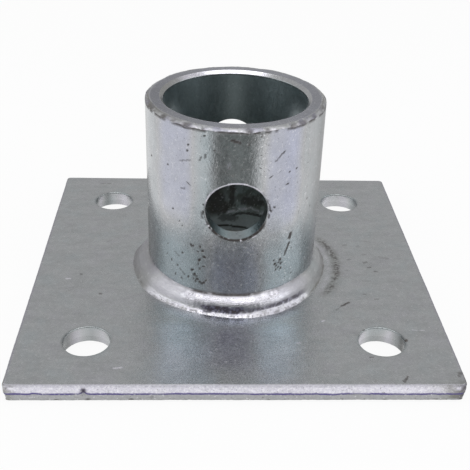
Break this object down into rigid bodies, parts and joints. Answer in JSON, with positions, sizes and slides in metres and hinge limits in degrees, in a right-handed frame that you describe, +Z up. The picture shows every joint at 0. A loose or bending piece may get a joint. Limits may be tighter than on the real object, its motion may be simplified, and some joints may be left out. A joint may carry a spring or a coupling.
{
  "type": "flange plate",
  "caption": "Square steel base plate with corner bolt holes and an upright welded socket tube, cross-drilled for a pin.",
  "frame": {"origin": "centre of the base plate's underside", "axes": "+Z up along the socket tube, +Y along the pin hole towards the back, +X to the right as seen from the front"},
  "size_m": [0.14, 0.14, 0.0715],
  "materials": {
    "zinc_plated_plate": "bright zinc plated hot-rolled sheet, satin and faintly mottled",
    "zinc_plated_tube": "bright zinc plated tube, smooth and glossy with small pits",
    "zinc_plated_weld": "bright zinc plated weld bead, glossy with a speckled toe"
  },
  "bodies": {
    "root": {"base_plate": "zinc_plated_plate", "socket_tube": "zinc_plated_tube", "weld_bead": "zinc_plated_weld"}
  },
  "joints": []
}
